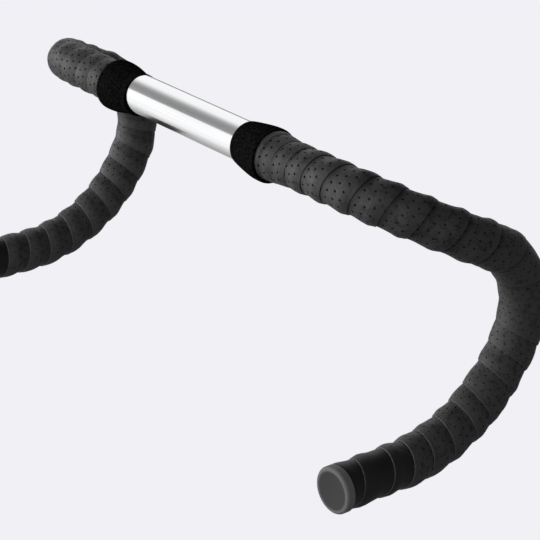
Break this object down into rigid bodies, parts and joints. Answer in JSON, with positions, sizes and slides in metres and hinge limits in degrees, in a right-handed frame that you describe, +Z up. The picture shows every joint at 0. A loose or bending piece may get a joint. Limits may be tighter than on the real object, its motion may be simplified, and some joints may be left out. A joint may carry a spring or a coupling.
{
  "type": "taped drop handlebar",
  "caption": "Drop handlebar with a bare clamp area, wound with perforated grip tape, closed by bands and end plugs, for steering a road bicycle.",
  "frame": {"origin": "middle of the bar's clamp area, on the tube's axis", "axes": "+X along the tops to the rider's right, +Y forward, +Z up with the ends of the drops level"},
  "size_m": [0.4298, 0.163, 0.1889],
  "materials": {
    "polished_aluminium": "polished along the tube, bright",
    "perforated_tape": "suede-like synthetic tape, matt, perforated",
    "velvet_band": "black velvety closing tape",
    "plug_rubber": "moulded rubber, satin"
  },
  "bodies": {
    "root": {"handlebar": "polished_aluminium", "tape_left": "perforated_tape", "tape_right": "perforated_tape", "finishing_band_left": "velvet_band", "finishing_band_right": "velvet_band", "end_plug_left": "plug_rubber", "end_plug_right": "plug_rubber"}
  },
  "joints": []
}
